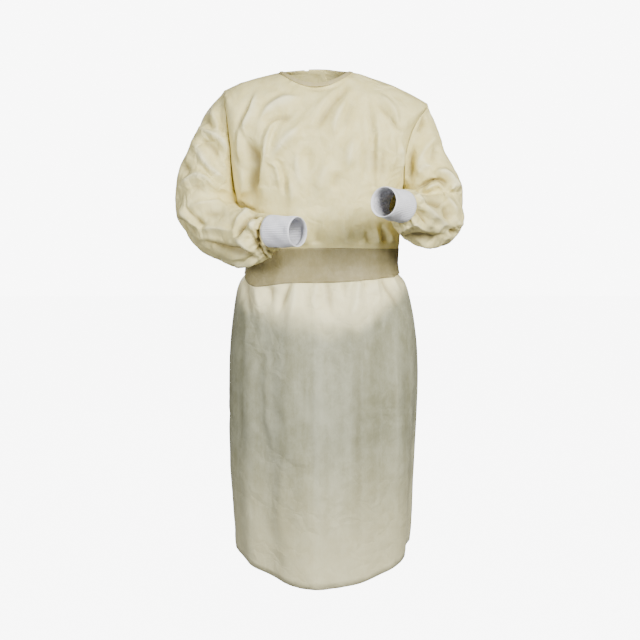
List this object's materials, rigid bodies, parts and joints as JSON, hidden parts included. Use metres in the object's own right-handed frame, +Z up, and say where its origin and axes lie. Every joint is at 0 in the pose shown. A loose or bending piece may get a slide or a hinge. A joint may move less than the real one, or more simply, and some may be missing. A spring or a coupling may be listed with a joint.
{
  "type": "isolation gown",
  "caption": "Worn-shape isolation gown with full sleeves, rib-knit cuffs, a bound neck and a waist belt, open down the back to cover a wearer's clothes",
  "frame": {"origin": "middle of the neck opening, level with the sides of the neck, where the gown hangs from its wearer", "axes": "+Z up, -Y the front, +X the wearer's left"},
  "size_m": [0.6702, 0.4672, 1.1813],
  "materials": {
    "cloth_front": "nonwoven, soft sheen",
    "cloth_back_left": "nonwoven, soft sheen",
    "cloth_back_right": "nonwoven, soft sheen",
    "cloth_sleeve_left": "nonwoven, soft sheen",
    "cloth_sleeve_right": "nonwoven, soft sheen",
    "knit_cuff_left": "rib knit",
    "knit_cuff_right": "rib knit",
    "cloth_binding": "nonwoven, soft sheen",
    "cloth_tab": "nonwoven, soft sheen",
    "cloth_belt": "nonwoven, soft sheen",
    "cloth_knot": "nonwoven, soft sheen",
    "cloth_tail_left": "nonwoven, soft sheen",
    "cloth_tail_right": "nonwoven, soft sheen"
  },
  "bodies": {
    "root": {"front_panel": "cloth_front", "back_left": "cloth_back_left", "back_right": "cloth_back_right", "sleeve_left": "cloth_sleeve_left", "sleeve_right": "cloth_sleeve_right", "cuff_left": "knit_cuff_left", "cuff_right": "knit_cuff_right", "neck_binding": "cloth_binding", "neck_tab": "cloth_tab", "belt": "cloth_belt", "belt_knot": "cloth_knot", "belt_tail_left": "cloth_tail_left", "belt_tail_right": "cloth_tail_right"}
  },
  "joints": []
}
